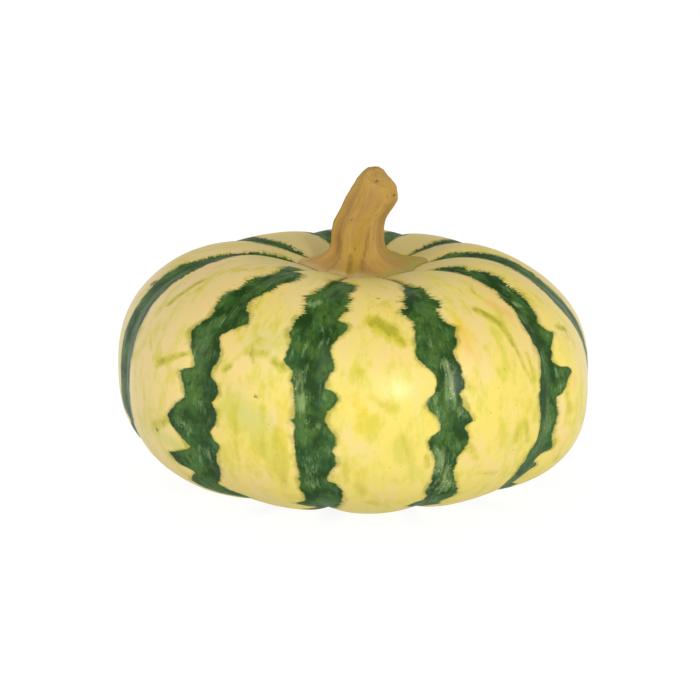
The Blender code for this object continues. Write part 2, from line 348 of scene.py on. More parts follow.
# the stripes, one on each furrow: rows of along, reach to the left of the furrow and reach to its right
stripeRows = (
    (
        (27, -1.5, -1.5), (30, 1.5, 1.5), (33, 1.6, 3.6), (36, 2, 5.7), (39, 2.3, 6.6), (42, 3.7, 5),
        (44, 4.7, 5.7), (45, 6.8, 6.6), (46.5, 5.3, 6.2), (48.5, 5.3, 5.7), (50, 5.5, 6.8),
        (51.5, 4.8, 4.5), (53, 6.6, 3.7), (54.2, 7.2, 6.6), (55.2, 7.3, 7.2), (57, 7.6, 7), (59, 8, 5),
        (61, 7.3, 4), (63, 7.6, 3.7), (65, 8, 5), (66, 8.4, 5.3), (68, 6.8, 5), (69.5, 5.5, 4),
        (71, 6, 3.3), (73, 5, 3), (74, 5, 6.4), (75.5, 5, 6.8), (77, 4.7, 6), (79, 4.7, 4), (81, 4.7, 3.7),
        (82, 5.6, 3.7), (83, 4.7, 4.4), (84, 4.7, 5.3), (85.5, 4.8, 6.6), (87.5, 4.7, 6.2), (89, 4.7, 5.3),
        (91, 4.7, 6.6), (93, 4.4, 6.6), (95, 4.2, 5), (97, 4, 3.7), (99, 4.2, 3.7), (100, 4.2, 6.2),
        (102, 4.4, 7.2), (104.5, 3.8, 7), (107, 3.6, 6.6), (110, 4, 5.4),
    ),
    (
        (29, -1.5, -1.5), (32, 0.6, 0.6), (35, 1.3, 1.2), (38, 3, 2.4), (40, 3.4, 2.4), (42, 4.2, 2.4),
        (44.5, 5, 2.8), (45.5, 7.2, 3.2), (46.5, 6, 4), (48, 6, 3.7), (49.5, 8.4, 3.3), (51, 8, 2.4),
        (53, 6.3, 2), (54.5, 6, 2.4), (55.5, 7.2, 4), (57, 6.8, 5.7), (58.5, 7.2, 4.5), (60, 7.8, 4.5),
        (62, 8, 3.7), (64, 8.2, 2.4), (66, 7.2, 3.3), (68, 5.5, 4), (70, 3.8, 4), (72, 3.4, 4.5),
        (74, 4.7, 4), (75.5, 6.5, 2.8), (77, 6.8, 3.7), (79, 5.5, 4), (80.5, 3.8, 5.7), (82, 3, 7),
        (84, 2.6, 4.5), (85.5, 5.5, 5), (87, 6.2, 5.3), (89, 5.5, 5.2), (91, 4.2, 4), (93, 3.4, 2.8),
        (95, 3.8, 2.4), (98, 3.8, 2.6), (100, 3.8, 3.2), (102, 4.2, 4), (104.5, 4.2, 5.3), (107, 3, 6),
        (110, 3.4, 4.6),
    ),
    (
        (22, -1, -1), (25, 0.3, 1.4), (29, 0.4, 2.8), (31, 0, 3.8), (33, -0.3, 3.8), (35, 0, 2.2),
        (37, 0.2, 3.8), (40, 1.3, 5), (42, 1.8, 5.2), (44, 1.3, 5.7), (45.5, 0.4, 4.5), (47, 0.4, 4.3),
        (49, 2, 4.7), (50, 2.6, 5), (52, 2.2, 4.3), (54, 2.2, 4), (57, 2.6, 3.5), (59, 3.8, 3),
        (61, 4, 2.4), (62.5, 3.4, 3.2), (63.5, 3.6, 5.5), (65, 3.8, 5), (67, 3, 3.2), (69, 2.8, 2),
        (71, 3.4, 1.3), (72.4, 4, 2.4), (73.4, 4.3, 7), (74.5, 4.7, 8.7), (76, 5.3, 7), (78, 5.8, 5.7),
        (80, 6, 3.8), (81, 5.7, 2), (83, 5.3, 2.4), (86, 5, 2.4), (89, 5.3, 2), (91, 5.5, 1.6),
        (93, 6, 1.6), (95, 7.6, 2.7), (96, 8, 2), (98, 8.2, -1.3), (99.5, 8.8, -2.6), (102, 9, 0.8),
        (103, 8.8, 0), (105, 9, -2.6), (107, 8.8, -2.2), (111, 7.4, -0.6),
    ),
    (
        (18, -1, -1), (22, 1.6, 1.2), (26, 3, 3.2), (30, 4.2, 3.7), (35, 5.4, 4.2), (39, 6.2, 6),
        (44, 7.4, 7), (48, 8, 6.5), (50, 8.8, 5.6), (52, 9.4, 5), (56, 10.2, 4), (60, 9.8, 4),
        (63, 8.6, 4.2), (65, 8, 4.5), (70, 6.6, 5), (73, 6, 5.4), (75, 4.8, 6.5), (79, 3.6, 6),
        (83, 5.2, 5),
    ),
    (
        (18, -1, -1), (22, 1.6, 0.6), (24, 2.2, 0.5), (28, 3.2, 1.2), (32, 4.8, 1.7), (36, 4.6, 3),
        (39, 5, 4), (43, 3.6, 4.4),
    ),
    (
        (19, -1, -1), (23, 0.8, 2), (26, 1, 3.4), (28.6, 1.4, 4), (30.6, 3.3, 4), (33, 3.8, 4),
        (35, 3, 3.6), (38, 2.6, 3.2),
    ),
    (
        (19, -1, -1), (23, 2.4, 0.6), (26, 4, 1), (28, 4.4, 1.6), (29.7, 4.4, 2.4), (31.5, 4, 4),
        (35, 4, 4.4), (38.7, 4.5, 4.6), (43, 5, 3.2),
    ),
    (
        (16, -1, -1), (20, 1.4, 2.4), (22, 1.4, 3), (25, 2.2, 3.7), (28, 2.5, 5.1), (32, 2.7, 5.3),
        (36, 4.2, 5), (40, 5.7, 6),
    ),
    (
        (16, -1, -1), (20, 1.4, 0.6), (23.5, 1.6, 0.9), (28, 1.6, 1.4), (31, 1, 2), (35, 0.6, 4.6),
        (39, 1, 7.2), (44, 2, 7.4), (48, 4, 7.6), (53, 5, 6.4), (57, 4.9, 6.8), (61, 4.7, 6.6),
        (66, 4.9, 7.4), (70, 5.4, 8), (74, 5.6, 8.2), (80, 5.6, 7.4), (84, 5.8, 7.2), (89, 6.8, 7),
        (93, 7.4, 7.4),
    ),
    (
        (18, -1, -1), (21, 2, 0.5), (25, 4.3, 0.3), (28, 3.4, 0.4), (30, 2.6, 2), (32, 1.4, 6.6),
        (35, 1, 8.7), (38, 1.5, 9.6), (40, 3, 8.7), (42.5, 3, 7), (45, 2, 7.6), (47, 3.5, 5.2),
        (50, 5, 3.9), (52, 4.8, 4.5), (55, 4.2, 7), (57, 4, 8.7), (58.5, 4, 6.6), (60, 5.5, 4.7),
        (62, 6.8, 2.4), (63, 7.3, 2), (65, 6.7, 3.5), (68, 5, 4), (70, 3.5, 3.7), (72, 3, 2.8),
        (73.2, 7.5, 2.8), (75, 6.5, 5.3), (77, 5.5, 6.3), (78.5, 5, 6), (80, 5, 4), (82, 7, 5.5),
        (84, 9.5, 5.7), (86, 11, 5), (88, 10, 3.2), (90, 8, 4.5), (92, 5, 6.2), (94, 4, 4), (95.5, 8, 3.8),
        (96.8, 13, 3.8), (98.5, 12, 4), (100, 10, 4), (102, 6, 2.4), (104, 8, 0.8), (107, 11, -1.3),
        (111, 9, 0),
    ),
)

# soft brush-like marks of the rind: azimuth and along of both ends, half width, strength
oliveMarks = (
    (-63.4, 57.9, -60.8, 48.4, 1.4, 0.8), (-55.4, 73, -46.2, 68.7, 0.9, 0.9),
    (-55.8, 74.3, -51.6, 71.7, 0.8, 0.8), (-61.6, 68.7, -59.6, 70.9, 0.8, 0.6),
    (-33.4, 68.9, -26.8, 61.1, 1.2, 0.5), (-34.8, 70.9, -33.2, 69.5, 1.1, 0.8),
    (-29.6, 65.3, -23.8, 64.8, 1.3, 0.7), (-28.6, 62.9, -27, 67.6, 0.8, 0.7),
    (-21.4, 66.5, -19, 68.2, 1.6, 0.8), (-56.6, 90.6, -50.6, 87.1, 2.2, 0.7),
    (-30.2, 80.2, -30.4, 94.9, 1.2, 0.5), (-23, 79.2, -23.2, 92.5, 1.4, 0.5),
    (-19.4, 85.1, -20.6, 96.3, 1.5, 0.5), (-17.8, 90.3, -19, 103, 1.6, 0.5), (4.4, 53.4, 9, 56.8, 2.6, 1),
    (8.6, 56.4, 11.6, 60.4, 1.7, 0.8), (6.4, 47.6, 9.6, 45.5, 1.2, 0.4), (3, 74.5, 7, 77.4, 2, 0.5),
    (10.6, 85.3, 11.8, 90.1, 0.8, 0.6), (16.6, 91.1, 17.2, 94.1, 1.3, 0.8),
    (37.8, 51.9, 42.8, 57.4, 1.6, 0.9), (42.8, 57.4, 43.6, 64.2, 1.4, 0.8),
    (43.6, 64.2, 45, 70.9, 1.1, 0.6), (45, 70.9, 46.8, 75.2, 0.9, 0.6), (43.4, 43.9, 42, 46, 0.9, 0.6),
    (62.2, 62.6, 65.2, 63.8, 1.2, 0.8), (65.2, 63.8, 64.2, 66.8, 0.9, 0.6),
    (42.6, 66.2, 40.8, 74, 1.4, 0.5), (47.2, 67.1, 47.6, 74.8, 1.1, 0.6),
    (44.4, 85.7, 45.6, 90.9, 1.2, 0.7), (41.8, 86.3, 41.4, 90.1, 1, 0.6),
    (59.2, 80.3, 60.8, 85.9, 1.5, 0.6), (60.8, 99.9, 61.2, 101, 1.5, 0.6), (31, 98.3, 37.4, 99.7, 1.2, 0.5),
    (27.2, 88.9, 29.4, 92.5, 1.8, 0.6), (0.4, 99.6, 1.6, 105.1, 1.6, 0.5),
    (2.4, 107.2, 7.4, 109.9, 1.8, 0.45), (-3.2, 93.4, -2.8, 98.3, 1.6, 0.6),
    (0.4, 67.6, 0.8, 69.7, 1.1, 0.5), (-54.2, 40.3, -50, 34.1, 2.2, 0.5),
    (-47, 41.3, -41.8, 39.3, 1.5, 0.5), (-69.4, 28.6, -85.6, 21.7, 2, 0.5),
)
yellowMarks = (
    (-0.6, 76, 2.6, 81, 3, 1), (3.6, 80, 1, 82.4, 2.6, 0.9), (3, 74.5, 7, 77.4, 2.4, 0.6),
    (0, 94, 1, 102, 3, 0.6), (3.2, 65.3, 3.2, 66, 1.6, 0.9), (5, 47, 8, 50, 2, 0.6),
    (9, 57, 11, 60, 2.4, 0.7), (28, 50, 31, 66, 2.6, 0.7), (26.5, 62, 28, 72, 2.2, 0.6),
    (23.4, 85.5, 28, 86.9, 3, 0.7), (-27, 92, -20, 104, 6, 0.6), (42, 70, 46, 98, 5, 0.6),
    (33, 82, 36, 96, 5, 0.5), (16.8, 72, 17.4, 82, 1.6, 0.8), (62, 76, 60, 95, 4, 0.6),
    (63.2, 83.9, 63.8, 89.3, 2, 0.7), (-55.2, 41, -52, 33.2, 2.6, 0.6), (-70.2, 97.1, -68, 104, 4, 0.5),
    (-18, 76, -18, 96, 2.4, 0.7),
)
orangeMarks = (
    (44.8, 50.6, 48.2, 55.1, 2.6, 0.9), (64.8, 45.5, 66, 46, 1.2, 0.7), (62.6, 76.7, 62.4, 79.2, 2.2, 0.8),
    (28.5, 58, 29.5, 64, 2.2, 0.7), (-66, 62, -64, 84, 7, 0.35), (-24, 46, -30, 56, 5, 0.25),
)
# painted sheen: pale streaks where the stripes catch the lamps
sheenMarks = (
    (22.6, 66.8, 22.8, 75, 1.8, 0.9), (18, 75.2, 19, 81.9, 2.4, 0.55), (20.4, 91.7, 23.6, 103.5, 3.2, 0.75),
    (24.2, 77.2, 26.6, 80.4, 2, 0.5), (18.2, 58.9, 19.6, 63.5, 1.6, 0.35), (-14.6, 70, -13.6, 78, 2, 0.8),
    (-15.4, 48.2, -13.6, 46.5, 1.3, 0.9), (-13.8, 61.5, -12.4, 62, 1.8, 0.4),
    (-12.2, 82.1, -9.2, 82.9, 2, 0.5), (-11.4, 92.7, -12, 101, 2.2, 0.5),
    (-44.6, 67, -44.6, 68.4, 1.6, 0.6), (-47, 87, -45.4, 88.7, 1.6, 0.6),
    (-41.2, 80.8, -39, 85.6, 1.6, 0.45), (-41.4, 94.1, -39.4, 96.6, 1.6, 0.6),
    (-42.2, 55.5, -41, 53.8, 2, 0.4), (55.4, 52.2, 55.2, 53.8, 1, 0.8), (57, 75.3, 57.2, 78.4, 1.8, 0.5),
    (52.8, 81.7, 53.6, 89.9, 1.4, 0.5),
)
greenBlushes = (
    (-31, 80, -24, 84, 5.5, 0.9), (-27, 62, -20, 62, 5, 0.6), (-56, 92, -48, 94, 2.6, 0.7),
    (-17.4, 67.2, -14.8, 69.4, 1.8, 1), (-88, 70, -88, 94, 4, 0.8), (-76, 24, -84, 22, 3, 0.6),
)
darkSpots = (
    (-25, 76.3, -25, 76.5, 0.8, 0.8), (-55.4, 91, -55.4, 91.2, 1, 0.8), (-85, 57, -86, 57.6, 1.3, 1),
    (124.5, 23.5, 125, 24, 1.2, 1), (92, 22, 93, 22.6, 1.2, 1), (6, 44, 7, 44, 0.5, 0.7),
    (8.6, 80.4, 8.8, 80.4, 0.5, 0.8),
)


# how the stripes go on past their written rows
grownTeeth = {
    "apart": (1.3, 3.0),
    "reach": (2.8, 5.6),
    "longer": (2, 4.5),  # added to the reach of a long tooth
    "longShare": 0.2,
    "flat": (0.8, 2.4),  # length of a tooth's blunt end
    "blunting": (0.75, 1),
    "thinning": (168, 62),  # along at which nothing is left, and the way over which they thin
    "last": 150,
    "end": (158, -1.5, -1.5),
}


def grownRows(rows, seed):
    # carries a stripe on past its written rows with teeth of the same kind, thinning towards the base
    teeth = grownTeeth
    dice = random.Random(seed)
    rows = list(rows)

    def toothReach():
        reach = dice.uniform(*teeth["reach"])
        return reach + (dice.uniform(*teeth["longer"]) if dice.random() < teeth["longShare"] else 0)

    while rows[-1][0] < teeth["last"]:
        along = rows[-1][0] + dice.uniform(*teeth["apart"])
        thinning = min(1, (teeth["thinning"][0] - along) / teeth["thinning"][1])
        reach = [toothReach() for _ in range(2)]
        rows.append((along, reach[0] * thinning, reach[1] * thinning))
        blunt = [dice.uniform(*teeth["blunting"]) * thinning for _ in range(2)]
        rows.append((along + dice.uniform(*teeth["flat"]), reach[0] * blunt[0], reach[1] * blunt[1]))
    return rows + [teeth["end"]]


# marks on the sides that the photograph doesn't show: count, seed, half width and how far they turn
strewn = {
    "olive": (46, 5, 1.3, 0.5),
    "yellow": (22, 6, 3.2, 0.4),
    "orange": (7, 7, 1.8, 1.0),
    # painted sheen streaks on the sides that aren't seen
    "sheen": (60, 8, 1.7, 0.3),
    "along": (38, 125),
    "length": (2, 11),
    "widths": (0.7, 1.5),
    "strengths": (0.45, 0.95),
}


def strewnMarks(kind):
    count, seed, width, turned = strewn[kind]
    degreesPerMillimetre = 0.9
    dice = random.Random(seed)
    marks = []
    for _ in range(count):
        azimuth = dice.uniform(*fruitForm["unseen"])
        along = dice.uniform(*strewn["along"])
        length = dice.uniform(*strewn["length"])
        turn = dice.gauss(0, turned)
        end = azimuth + length * math.sin(turn) * degreesPerMillimetre, along + length * math.cos(turn)
        halfWidth = width * dice.uniform(*strewn["widths"])
        marks.append((azimuth, along, *end, halfWidth, dice.uniform(*strewn["strengths"])))
    return tuple(marks)


def stripeEdges(azimuth, along, radius, starts):
    # how far inside the nearest stripe's edge each point is, and how near it is to a furrow's line
    x, y = around(azimuth, fruitForm["paintRadius"])
    place = np.stack([x, y, along * 1.6], -1)
    along = along + 0.9 * randomHeights(place, 4.2, 3.7)  # so that no tooth keeps a straight side
    far = 60.0
    inside = np.full(azimuth.shape, -far)
    nearest = np.full(azimuth.shape, far)
    for order, rows in enumerate(stripeRows):
        table = np.array(grownRows(rows, order + 40))
        across = wrapped(azimuth - starts[..., order]) * math.pi / 180 * radius
        left = np.interp(along, table[:, 0], table[:, 1])
        right = np.interp(along, table[:, 0], table[:, 2])
        inside = np.maximum(inside, np.minimum(across + left, right - across))
        nearest = np.minimum(nearest, np.abs(across))
    return inside, nearest


def fitted(points):
    # eases points across the floor's plane so that the fruit fills its solid's box
    low, high = (np.array(corner[:2]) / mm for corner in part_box("fruit"))
    place = np.array(points)
    place[..., :2] = low + (place[..., :2] - fruitReach[0]) * (high - low) / (fruitReach[1] - fruitReach[0])
    return place


def measuredReach():
    # the reach of the fruit before it is fitted
    azimuth, polar = np.meshgrid(np.arange(0, 360, 0.5), np.linspace(0.3, math.pi - 0.3, 181))
    points = (fruitPoints(azimuth, polar)[0] + ringCentre)[..., :2].reshape(-1, 2)
    return points.min(0), points.max(0)


def alongTable():
    # the way over the rind at each angle from the crown, on the lobe that faces the front
    polar = np.linspace(0.001, math.pi - 0.001, 2000)
    frontLobe = 5.5  # azimuth of its middle
    points, _ = fruitPoints(np.full(polar.shape, frontLobe), polar)
    out = np.hypot(points[:, 0], points[:, 1])
    return polar, np.concatenate([[0], np.cumsum(np.hypot(np.diff(out), np.diff(points[:, 2])))])


def makeFruit():
    form = fruitForm
    share = np.linspace(0, 1, form["rings"] + 1)
    polar = math.pi * share - form["ringCrowding"] / 2 * np.sin(2 * math.pi * share)
    polar = np.clip(polar, 1e-5, math.pi - 1e-5)
    azimuth, polar = np.meshgrid(np.arange(form["segments"]) * 360 / form["segments"], polar)
    grid, smoothRadius = fruitPoints(azimuth, polar)
    along = np.interp(polar, *alongTable())
    radius = np.hypot(grid[..., 0], grid[..., 1])
    away = easedBetween(along, form["lumpsFrom"])  # no lumps under the stem's foot
    normals = gridNormals(grid)
    for order, (depth, size) in enumerate(form["lumps"]):
        lump = randomHeights(grid, size, 7.3 + order * 31)
        grid = grid - normals * (depth * (0.5 + 0.5 * lump) * away)[..., None]
    grid = fitted(grid + ringCentre)
    grid[..., 2] = np.maximum(grid[..., 2], 0)  # the lobes' lowest points are flat, as in the solid

    starts, _, _ = lobePlaces(azimuth, outwardShare(smoothRadius))
    inside, nearest = stripeEdges(azimuth, along, radius, starts)
    olive = oliveMarks + strewnMarks("olive")
    yellow = yellowMarks + strewnMarks("yellow")
    orange = orangeMarks + strewnMarks("orange")
    # painted sheen streaks on the stripes
    sheen = sheenMarks + strewnMarks("sheen")
    amounts = [strokeAmount(marks, azimuth, along, radius) for marks in (olive, yellow, orange)]
    # the painted sheen, and the rind's own green blushes and dark spots
    sheenBlushesSpots = [strokeAmount(marks, azimuth, along, radius) for marks in (sheen, greenBlushes, darkSpots)]
    x, y = around(azimuth, form["paintRadius"])
    # painted shade along the furrows near the crown
    fade = (1 - easedBetween(along, form["creaseUntil"])) * easedBetween(along, form["creaseFrom"])
    narrow, wide = form["creaseWidth"]
    crease = bell(nearest, narrow + (wide - narrow) * easedBetween(along, (20, 30))) * fade
    return sphereFromGrid("ribbedFruit", grid, {
        "spun": np.stack([x, y, along], -1),
        "stripe": inside,
        "marks": np.stack(amounts, -1),
        "sheenBlushesSpots": np.stack(sheenBlushesSpots, -1),
        "crease": crease,
    })


rindLook = {
    "cream": rgb(238, 214, 138),
    "warm": rgb(241, 209, 116),
    "blush": rgb(238, 209, 156),
    # painted shade, with some grey dirt round the stem
    "dirtAndShade": rgb(200, 182, 116),
    "yellow": rgb(240, 220, 92),
    "deepYellow": rgb(234, 204, 48),
    "orange": rgb(240, 188, 96),
    "yellowGreen": rgb(214, 204, 72),
    "olive": rgb(170, 162, 40),
    "lime": rgb(206, 194, 52),
    "paleGreen": rgb(203, 204, 108),
    "green": rgb(74, 109, 44),
    "darkGreen": rgb(33, 64, 18),
    "blueGreen": rgb(42, 89, 50),
    "sage": rgb(114, 142, 78),
    # painted sheen and painted glints on the stripes
    "sheen": rgb(150, 174, 110),
    "glint": rgb(214, 224, 184),
    "fringe": rgb(140, 142, 42),
    # painted shade in the furrows
    "creaseShade": rgb(84, 76, 34),
    "brown": rgb(84, 64, 38),
    "cork": rgb(150, 112, 66),
    "lobing": 1.5,  # how far the stripes' edges wander
    "needles": (0.35, 5.0),  # how far brush strokes reach out of them, low on the side and on the shoulder
    "roughness": 0.45,
    "specular": 0.02,
    "coat": 0.6,
    "coatOnStripes": 0.3,
    "coatRoughness": 0.3,
    "bump": 0.6,
}


def groundColour(look, spun, place, marks, blush, crease, mottle, ragged):
    side, _, along = place
    olive, yellow, orange = marks
    broad = spun.grain(0.035, 0.03, 2)
    patches = spun.grain(0.085, 0.06, 3, 0.55, 13)
    brushed = spun.grain(0.40, 0.15, 4, 0.65, 9)
    lower = along.step(48, 98)

    # cream, yellower lower down, flushed on the left, and darker round the stem with grey dirt and painted
    # shade
    ground = (broad.step(0.40, 0.64) * 0.6).paint(look["cream"], look["warm"])
    yellower = (patches + lower * 0.12).step(0.44, 0.66) * (0.45 + lower * 0.4)
    ground = yellower.paint(ground, look["yellow"])
    ground = (side.step(-34, -60) * 0.6).paint(ground, look["blush"])
    # round the stem: grey dirt and painted shade in the crown's hollow
    ground = ((along + (broad - 0.5) * 30).step(44, 20) * 0.55).paint(ground, look["dirtAndShade"])
    ground = ((yellow + (mottle - 0.5) * 3.0).step(0.25, 1.1) * 0.8).paint(ground, look["deepYellow"])
    ground = ((blush + (mottle - 0.5) * 0.8).step(0.1, 1.0) * 0.7).paint(ground, look["paleGreen"])
    ground = ((orange + (mottle - 0.5) * 1.2).step(0.15, 1.1) * 0.65).paint(ground, look["orange"])
    greener = mottle * 0.55 + brushed * 0.35 + patches * 0.2 + lower * 0.03
    ground = (greener.step(0.54, 0.69) * 0.8).paint(ground, look["yellowGreen"])
    flecks = (brushed * 0.55 + ragged * 0.45).step(0.57, 0.69) * patches.step(0.42, 0.57)
    ground = (flecks * 0.7).paint(ground, look["yellowGreen"])
    ground = ((olive + (mottle - 0.5) * 1.0).step(0.12, 0.7) * 0.8).paint(ground, look["lime"])
    ground = ((olive + (ragged - 0.5) * 1.6).step(0.45, 1.0) * 0.8).paint(ground, look["olive"])
    # painted shade: darker towards the base
    ground = ((along + (patches - 0.5) * 20).step(74, 118) * 0.45).paint(ground, look["dirtAndShade"])
    # painted shade: dark lines along the furrows near the crown
    ground = (crease * 0.9).paint(ground, look["creaseShade"])
    ground = (spun.specks(0.42, 0.42, 0.12, 0.14) * 0.5).paint(ground, look["brown"])
    return (spun.specks(0.22, 0.2, 0.10, 0.16) * 0.55).paint(ground, look["olive"])


def stripeColour(look, spun, along, edge, sheen):
    deep = spun.grain(0.16, 0.12, 3, 0.55, 37)
    swirled = spun.grain(0.34, 0.24, 4, 0.6, 47)
    streaked = spun.grain(0.85, 0.22, 4, 0.7, 41)
    flaked = spun.grain(1.1, 0.9, 4, 0.7, 43)
    green = deep.step(0.38, 0.62).paint(look["darkGreen"], look["green"])
    green = ((swirled + along.step(60, 110) * 0.08).step(0.50, 0.66) * 0.6).paint(green, look["blueGreen"])
    green = (swirled.step(0.46, 0.34) * 0.75).paint(green, look["darkGreen"])
    green = ((streaked * 0.6 + swirled * 0.4).step(0.53, 0.66) * 0.45).paint(green, look["sage"])
    green = ((flaked * 0.7 + deep * 0.3).step(0.55, 0.68) * 0.55).paint(green, look["sage"])
    green = ((flaked * 0.6 + streaked * 0.4).step(0.45, 0.34) * 0.5).paint(green, look["darkGreen"])
    green = ((edge + (swirled - 0.5) * 4).step(1.8, 0.2) * 0.35).paint(green, look["darkGreen"])
    # painted sheen: paler streaks where the stripes catch the lamps
    pale = sheen + (streaked - 0.5) * 2.2 + (swirled - 0.5) * 1.2
    green = (pale.step(0.2, 1.2) * 0.7).paint(green, look["sheen"])
    # painted glints: small highlight specks in the painted sheen
    glints = spun.specks(1.3, 1.1, 0.34, 0.30) * (sheen + (deep - 0.5)).step(0.2, 0.7)
    return (glints * 0.55).paint(green, look["glint"])


def rindMaterial():
    look = rindLook
    gloss = look["roughness"], look["coat"], look["coatRoughness"], look["specular"]
    material, shader, wire = newMaterial("rindPaint", *gloss)
    spun = wire.attribute("spun", "Vector")
    place = wire.parts("spun")
    along = place[2]
    stripe = wire.attribute("stripe")
    # the painted sheen, the green blushes and the dark spots
    sheen, blush, spots = wire.parts("sheenBlushesSpots")
    mottle = spun.grain(0.19, 0.13, 4, 0.6, 3)
    ragged = spun.grain(0.5, 0.42, 4, 0.65, 17)
    crease = wire.attribute("crease")
    ground = groundColour(look, spun, place, wire.parts("marks"), blush, crease, mottle, ragged)

    # the stripes' edges: rounded lobes, and brush strokes that reach across on the shoulder
    low, high = look["needles"]
    reach = low + along.step(60, 46) * (high - low)
    edge = stripe + (spun.grain(0.26, 0.42, 2, 0.5, 23) - 0.5) * look["lobing"]
    edge = edge + (spun.grain(0.30, 2.3, 3, 0.6, 29) - 0.5) * reach
    edge = edge + spun.grain(0.9, 1.0, 3, 0.6, 31) - 0.5
    inStripe = edge.step(-0.32, 0.42)
    nearStripe = (edge + (mottle - 0.5) * 4.5).step(-1.6, 0.1)
    colour = (nearStripe * 0.55).paint(ground, look["fringe"])
    colour = inStripe.paint(colour, stripeColour(look, spun, along, edge, sheen))
    colour = ((spots + (ragged - 0.5) * 0.5).step(0.35, 0.7) * 0.8).paint(colour, look["brown"])
    scar = (along + (ragged - 0.5) * 3).step(161.0, 162.5)
    colour = scar.paint(colour, look["cork"])

    fine = spun.grain(1.6, 1.6, 3, 0.6, 5)
    height = mottle * 0.10 + ragged * 0.08 + inStripe * 0.03 + fine * 0.04
    # the wax is thinner on the stripes, on the crown and towards the base
    wax = look["coat"] + inStripe * (look["coatOnStripes"] - look["coat"])
    feed(shader, "Base Color", colour)
    feed(shader, "Roughness", look["roughness"] + (ragged - 0.5) * 0.2 + scar * 0.4)
    feed(shader, "Coat Weight", wax * (0.12 + along.step(46, 62) * along.step(108, 92) * 0.88))
    feed(shader, "Normal", bumped(wire, height, look["bump"]))
    return material


print("growing the fruit")
fruitReach = measuredReach()
fruit = makeFruit()
fruit.data.materials.append(rindMaterial())
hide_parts("fruit")
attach(fruit, "root")


stemForm = {
    "segments": 260,
    "rows": (34, 86, 74, 36),  # end, neck, flare and underside
    "gap": 0.06,
    "footOffset": (1.1, 0.5),
    "footValley": 15.2,
    "footEdge": 0.22,
    # the neck's slices: height above the ring, left side, right side, half depth and middle of the depth
    "slices": (
        (36.3, -8.0, 8.6, 7.7, 0.3), (38.6, -7.9, 8.3, 7.5, 0.3), (40.9, -7.5, 8.3, 7.4, 0.3),
        (42.6, -7.1, 8.7, 7.3, 0.3), (44.3, -6.3, 9.6, 7.3, 0.2), (46, -5.5, 10.8, 7.2, 0.2),
        (47.2, -4.9, 11.5, 7.1, 0.1), (48.3, -4.4, 12, 7, 0), (49.5, -3.8, 12, 6.9, 0),
        (51.1, -2.8, 11.7, 6.8, 0), (52.8, -1.7, 11.1, 6.5, 0.1), (54.5, -0.5, 9.7, 6.1, 0.2),
        (56, 0.7, 8.4, 5.3, 0.3), (56.9, 1.5, 7.8, 4.4, 0.4), (57.5, 2.4, 7.1, 3.5, 0.4),
    ),
    "neckHeight": 38.6,
    "endDome": 0.25,
    "brokenFrom": 50.5,  # the height from which the end is rough
    "facet": (0.34, -0.50, 0.80, 47.7),  # the broken end's plane: its direction, and how far it lies out
    "facetCut": 0.85,  # the share of what stands past that plane that is cut away
    "grainRadius": 7.0,  # the post that the fibres are laid on
    "markRadius": 8,
    "grooveDepth": 0.45,
    "spotDepth": 0.35,
    "valleyDepth": 0.35,
    # each ridge: its azimuth and how far its foot reaches along the crown
    "ridges": ((-88, 18.0), (-28, 17.2), (40, 18.2), (92, 18.4), (155, 16.4), (218, 15.8)),
    "ridgeWidth": 20,
    "ridgeRise": 0.11,
    "flareSharpness": 3.2,
    "flareLift": 1.2,
    "fibres": ((0.34, 2.6, 26.0), (0.20, 1.1, 14.0), (0.08, 0.5, 8.0)),  # depth, width and length
    "lumps": ((0.40, 5.5), (0.16, 2.0)),  # depth and size
    "endChips": ((0.55, 3.2), (0.30, 1.3)),  # depth and size, on the broken end
}


def ridgeAmount(azimuth):
    return sum(bell(wrapped(azimuth - ridge), stemForm["ridgeWidth"]) for ridge, _ in stemForm["ridges"])


def footPoints(azimuth, share, lift):
    form = stemForm
    reach = form["footValley"]
    for ridge, length in form["ridges"]:
        reach = reach + (length - form["footValley"]) * bell(wrapped(azimuth - ridge), form["ridgeWidth"])
    x, y = around(azimuth, reach * share)
    x, y = x + form["footOffset"][0], y + form["footOffset"][1]
    turn = np.degrees(np.arctan2(x, -y))
    _, height = lobedSurface(turn, np.hypot(x, y), np.full(x.shape, True))
    return leaned(x, y, height + form["gap"] + lift)


def neckPoints(azimuth, height, inset):
    form = stemForm
    table = np.array(form["slices"])
    columns = [curveThrough(table[:, 0], table[:, order], height) for order in range(1, 5)]
    left, right, deep, middle = columns
    ridged = 1 + form["ridgeRise"] * (ridgeAmount(azimuth) - 1)
    across, outward = around(azimuth, ridged * (1 - inset))
    return np.stack([(left + right) / 2 + across * (right - left) / 2, middle + outward * deep, height], -1)


def flarePoints(azimuth, along):
    form = stemForm
    edge = footPoints(azimuth, np.ones(azimuth.shape), form["footEdge"])
    neck = neckPoints(azimuth, np.full(azimuth.shape, float(form["neckHeight"])), 0)
    spread = ((1 - along) ** form["flareSharpness"])[..., None]
    place = neck + (edge - neck) * spread
    place[..., 2] = edge[..., 2] + (neck[..., 2] - edge[..., 2]) * along ** form["flareLift"]
    return place


